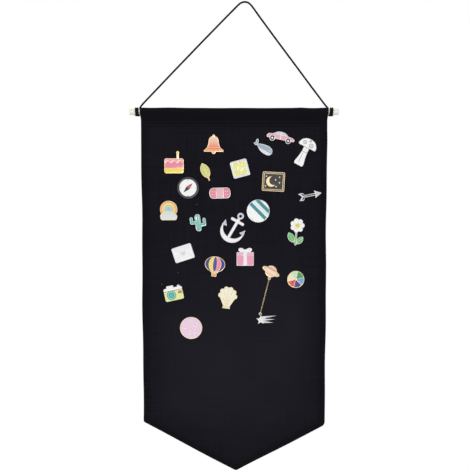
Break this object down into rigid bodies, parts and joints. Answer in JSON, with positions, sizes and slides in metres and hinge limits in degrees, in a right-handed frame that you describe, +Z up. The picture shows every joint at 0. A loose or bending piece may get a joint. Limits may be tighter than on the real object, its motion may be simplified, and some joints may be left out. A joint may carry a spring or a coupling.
{
  "type": "pin display banner",
  "caption": "Pointed black canvas pennant hung from a wooden dowel by a cord, showing enamel lapel pins that turn on posts held by butterfly clutches.",
  "frame": {"origin": "where a nail or hook carries the bend of the cord, on the underside of the cord", "axes": "+Z up, +X to the right and +Y to the back as the pins are seen from the front"},
  "size_m": [0.336, 0.0181, 0.7652],
  "materials": {
    "black_canvas": "plain weave cotton canvas",
    "dowel_wood": "sanded, unvarnished",
    "black_cord": "waxed cotton cord",
    "gold_plate": "polished gold plating with glossy enamel fields",
    "nickel_plate": "polished nickel plating with glossy enamel fields",
    "black_nickel": "dyed black nickel plating with glossy enamel fields",
    "clutch_brass": "stamped and plated"
  },
  "bodies": {
    "hanger": {"dowel": "dowel_wood", "hanging_cord": "black_cord", "left_cord_hitch": "black_cord", "right_cord_hitch": "black_cord"},
    "banner": {"canvas_banner": "black_canvas", "rod_pocket": "black_canvas", "pin_chain": "gold_plate", "car_pin": "nickel_plate", "whale_pin": "nickel_plate", "mushroom_pin": "black_nickel", "planet_pin": "gold_plate", "comet_pin": "nickel_plate"},
    "bell_pin": {"bell_pin": "gold_plate"},
    "bell_clutch": {"bell_clutch": "clutch_brass"},
    "cake_pin": {"cake_pin": "gold_plate"},
    "cake_clutch": {"cake_clutch": "clutch_brass"},
    "leaf_pin": {"leaf_pin": "gold_plate"},
    "leaf_clutch": {"leaf_clutch": "clutch_brass"},
    "tile_pin": {"tile_pin": "nickel_plate"},
    "tile_clutch": {"tile_clutch": "clutch_brass"},
    "compass_pin": {"compass_pin": "black_nickel"},
    "compass_clutch": {"compass_clutch": "clutch_brass"},
    "plaster_pin": {"plaster_pin": "nickel_plate"},
    "plaster_clutch": {"plaster_clutch": "clutch_brass"},
    "car_clutch_1": {"car_clutch_1": "clutch_brass"},
    "car_clutch_2": {"car_clutch_2": "clutch_brass"},
    "whale_clutch_1": {"whale_clutch_1": "clutch_brass"},
    "whale_clutch_2": {"whale_clutch_2": "clutch_brass"},
    "mushroom_clutch_1": {"mushroom_clutch_1": "clutch_brass"},
    "mushroom_clutch_2": {"mushroom_clutch_2": "clutch_brass"},
    "night_pin": {"night_pin": "gold_plate"},
    "night_clutch": {"night_clutch": "clutch_brass"},
    "arrow_pin": {"arrow_pin": "nickel_plate"},
    "arrow_clutch": {"arrow_clutch": "clutch_brass"},
    "rainbow_pin": {"rainbow_pin": "gold_plate"},
    "rainbow_clutch": {"rainbow_clutch": "clutch_brass"},
    "cactus_pin": {"cactus_pin": "nickel_plate"},
    "cactus_clutch": {"cactus_clutch": "clutch_brass"},
    "stripes_pin": {"stripes_pin": "nickel_plate"},
    "stripes_clutch": {"stripes_clutch": "clutch_brass"},
    "anchor_pin": {"anchor_pin": "nickel_plate"},
    "anchor_clutch": {"anchor_clutch": "clutch_brass"},
    "daisy_pin": {"daisy_pin": "nickel_plate"},
    "daisy_clutch": {"daisy_clutch": "clutch_brass"},
    "envelope_pin": {"envelope_pin": "nickel_plate"},
    "envelope_clutch": {"envelope_clutch": "clutch_brass"},
    "balloon_pin": {"balloon_pin": "gold_plate"},
    "balloon_clutch": {"balloon_clutch": "clutch_brass"},
    "gift_pin": {"gift_pin": "nickel_plate"},
    "gift_clutch": {"gift_clutch": "clutch_brass"},
    "planet_clutch": {"planet_clutch": "clutch_brass"},
    "wheel_pin": {"wheel_pin": "gold_plate"},
    "wheel_clutch": {"wheel_clutch": "clutch_brass"},
    "camera_pin": {"camera_pin": "black_nickel"},
    "camera_clutch": {"camera_clutch": "clutch_brass"},
    "shell_pin": {"shell_pin": "gold_plate"},
    "shell_clutch": {"shell_clutch": "clutch_brass"},
    "weave_pin": {"weave_pin": "gold_plate"},
    "weave_clutch": {"weave_clutch": "clutch_brass"},
    "comet_clutch": {"comet_clutch": "clutch_brass"}
  },
  "joints": [
    {"name": "banner_swing", "type": "hinge", "parent": "hanger", "child": "banner", "pos_m": [-0.017, 0, -0.172], "axis": [1, 0, 0], "range_deg": [-90, 75]},
    {"name": "bell_turn", "type": "hinge", "parent": "banner", "child": "bell_pin", "pos_m": [-0.05, 0, -0.22375], "axis": [0, 1, 0], "continuous": true},
    {"name": "bell_clutch_pull", "type": "slide", "parent": "bell_pin", "child": "bell_clutch", "axis": [0, 1, 0], "range_m": [0, 0.01]},
    {"name": "cake_turn", "type": "hinge", "parent": "banner", "child": "cake_pin", "pos_m": [-0.114, 0, -0.25575], "axis": [0, 1, 0], "continuous": true},
    {"name": "cake_clutch_pull", "type": "slide", "parent": "cake_pin", "child": "cake_clutch", "axis": [0, 1, 0], "range_m": [0, 0.01]},
    {"name": "leaf_turn", "type": "hinge", "parent": "banner", "child": "leaf_pin", "pos_m": [-0.063, 0, -0.26775], "axis": [0, 1, 0], "continuous": true},
    {"name": "leaf_clutch_pull", "type": "slide", "parent": "leaf_pin", "child": "leaf_clutch", "axis": [0, 1, 0], "range_m": [0, 0.01]},
    {"name": "tile_turn", "type": "hinge", "parent": "banner", "child": "tile_pin", "pos_m": [-0.0075, 0, -0.26275], "axis": [0, 1, 0], "continuous": true},
    {"name": "tile_clutch_pull", "type": "slide", "parent": "tile_pin", "child": "tile_clutch", "axis": [0, 1, 0], "range_m": [0, 0.01]},
    {"name": "compass_turn", "type": "hinge", "parent": "banner", "child": "compass_pin", "pos_m": [-0.0915, 0, -0.29375], "axis": [0, 1, 0], "continuous": true},
    {"name": "compass_clutch_pull", "type": "slide", "parent": "compass_pin", "child": "compass_clutch", "axis": [0, 1, 0], "range_m": [0, 0.01]},
    {"name": "plaster_turn", "type": "hinge", "parent": "banner", "child": "plaster_pin", "pos_m": [-0.04, 0, -0.30225], "axis": [0, 1, 0], "continuous": true},
    {"name": "plaster_clutch_pull", "type": "slide", "parent": "plaster_pin", "child": "plaster_clutch", "axis": [0, 1, 0], "range_m": [0, 0.01]},
    {"name": "car_clutch_1_pull", "type": "slide", "parent": "banner", "child": "car_clutch_1", "axis": [0, 1, 0], "range_m": [0, 0.01]},
    {"name": "car_clutch_2_pull", "type": "slide", "parent": "banner", "child": "car_clutch_2", "axis": [0, 1, 0], "range_m": [0, 0.01]},
    {"name": "whale_clutch_1_pull", "type": "slide", "parent": "banner", "child": "whale_clutch_1", "axis": [0, 1, 0], "range_m": [0, 0.01]},
    {"name": "whale_clutch_2_pull", "type": "slide", "parent": "banner", "child": "whale_clutch_2", "axis": [0, 1, 0], "range_m": [0, 0.01]},
    {"name": "mushroom_clutch_1_pull", "type": "slide", "parent": "banner", "child": "mushroom_clutch_1", "axis": [0, 1, 0], "range_m": [0, 0.01]},
    {"name": "mushroom_clutch_2_pull", "type": "slide", "parent": "banner", "child": "mushroom_clutch_2", "axis": [0, 1, 0], "range_m": [0, 0.01]},
    {"name": "night_turn", "type": "hinge", "parent": "banner", "child": "night_pin", "pos_m": [0.0465, 0, -0.28375], "axis": [0, 1, 0], "continuous": true},
    {"name": "night_clutch_pull", "type": "slide", "parent": "night_pin", "child": "night_clutch", "axis": [0, 1, 0], "range_m": [0, 0.01]},
    {"name": "arrow_turn", "type": "hinge", "parent": "banner", "child": "arrow_pin", "pos_m": [0.106, 0, -0.30575], "axis": [0, 1, 0], "continuous": true},
    {"name": "arrow_clutch_pull", "type": "slide", "parent": "arrow_pin", "child": "arrow_clutch", "axis": [0, 1, 0], "range_m": [0, 0.01]},
    {"name": "rainbow_turn", "type": "hinge", "parent": "banner", "child": "rainbow_pin", "pos_m": [-0.123, 0, -0.33075], "axis": [0, 1, 0], "continuous": true},
    {"name": "rainbow_clutch_pull", "type": "slide", "parent": "rainbow_pin", "child": "rainbow_clutch", "axis": [0, 1, 0], "range_m": [0, 0.01]},
    {"name": "cactus_turn", "type": "hinge", "parent": "banner", "child": "cactus_pin", "pos_m": [-0.0755, 0, -0.35025], "axis": [0, 1, 0], "continuous": true},
    {"name": "cactus_clutch_pull", "type": "slide", "parent": "cactus_pin", "child": "cactus_clutch", "axis": [0, 1, 0], "range_m": [0, 0.01]},
    {"name": "stripes_turn", "type": "hinge", "parent": "banner", "child": "stripes_pin", "pos_m": [0.022, 0, -0.33125], "axis": [0, 1, 0], "continuous": true},
    {"name": "stripes_clutch_pull", "type": "slide", "parent": "stripes_pin", "child": "stripes_clutch", "axis": [0, 1, 0], "range_m": [0, 0.01]},
    {"name": "anchor_turn", "type": "hinge", "parent": "banner", "child": "anchor_pin", "pos_m": [-0.017, 0, -0.35788], "axis": [0, 1, 0], "continuous": true},
    {"name": "anchor_clutch_pull", "type": "slide", "parent": "anchor_pin", "child": "anchor_clutch", "axis": [0, 1, 0], "range_m": [0, 0.01]},
    {"name": "daisy_turn", "type": "hinge", "parent": "banner", "child": "daisy_pin", "pos_m": [0.082, 0, -0.36475], "axis": [0, 1, 0], "continuous": true},
    {"name": "daisy_clutch_pull", "type": "slide", "parent": "daisy_pin", "child": "daisy_clutch", "axis": [0, 1, 0], "range_m": [0, 0.01]},
    {"name": "envelope_turn", "type": "hinge", "parent": "banner", "child": "envelope_pin", "pos_m": [-0.1, 0, -0.39975], "axis": [0, 1, 0], "continuous": true},
    {"name": "envelope_clutch_pull", "type": "slide", "parent": "envelope_pin", "child": "envelope_clutch", "axis": [0, 1, 0], "range_m": [0, 0.01]},
    {"name": "balloon_turn", "type": "hinge", "parent": "banner", "child": "balloon_pin", "pos_m": [-0.0485, 0, -0.42175], "axis": [0, 1, 0], "continuous": true},
    {"name": "balloon_clutch_pull", "type": "slide", "parent": "balloon_pin", "child": "balloon_clutch", "axis": [0, 1, 0], "range_m": [0, 0.01]},
    {"name": "gift_turn", "type": "hinge", "parent": "banner", "child": "gift_pin", "pos_m": [0.001, 0, -0.40875], "axis": [0, 1, 0], "continuous": true},
    {"name": "gift_clutch_pull", "type": "slide", "parent": "gift_pin", "child": "gift_clutch", "axis": [0, 1, 0], "range_m": [0, 0.01]},
    {"name": "planet_clutch_pull", "type": "slide", "parent": "banner", "child": "planet_clutch", "axis": [0, 1, 0], "range_m": [0, 0.01]},
    {"name": "wheel_turn", "type": "hinge", "parent": "banner", "child": "wheel_pin", "pos_m": [0.0835, 0, -0.44275], "axis": [0, 1, 0], "continuous": true},
    {"name": "wheel_clutch_pull", "type": "slide", "parent": "wheel_pin", "child": "wheel_clutch", "axis": [0, 1, 0], "range_m": [0, 0.01]},
    {"name": "camera_turn", "type": "hinge", "parent": "banner", "child": "camera_pin", "pos_m": [-0.116, 0, -0.46475], "axis": [0, 1, 0], "continuous": true},
    {"name": "camera_clutch_pull", "type": "slide", "parent": "camera_pin", "child": "camera_clutch", "axis": [0, 1, 0], "range_m": [0, 0.01]},
    {"name": "shell_turn", "type": "hinge", "parent": "banner", "child": "shell_pin", "pos_m": [-0.028, 0, -0.47375], "axis": [0, 1, 0], "continuous": true},
    {"name": "shell_clutch_pull", "type": "slide", "parent": "shell_pin", "child": "shell_clutch", "axis": [0, 1, 0], "range_m": [0, 0.01]},
    {"name": "weave_turn", "type": "hinge", "parent": "banner", "child": "weave_pin", "pos_m": [-0.0875, 0, -0.52275], "axis": [0, 1, 0], "continuous": true},
    {"name": "weave_clutch_pull", "type": "slide", "parent": "weave_pin", "child": "weave_clutch", "axis": [0, 1, 0], "range_m": [0, 0.01]},
    {"name": "comet_clutch_pull", "type": "slide", "parent": "banner", "child": "comet_clutch", "axis": [0, 1, 0], "range_m": [0, 0.01]}
  ]
}
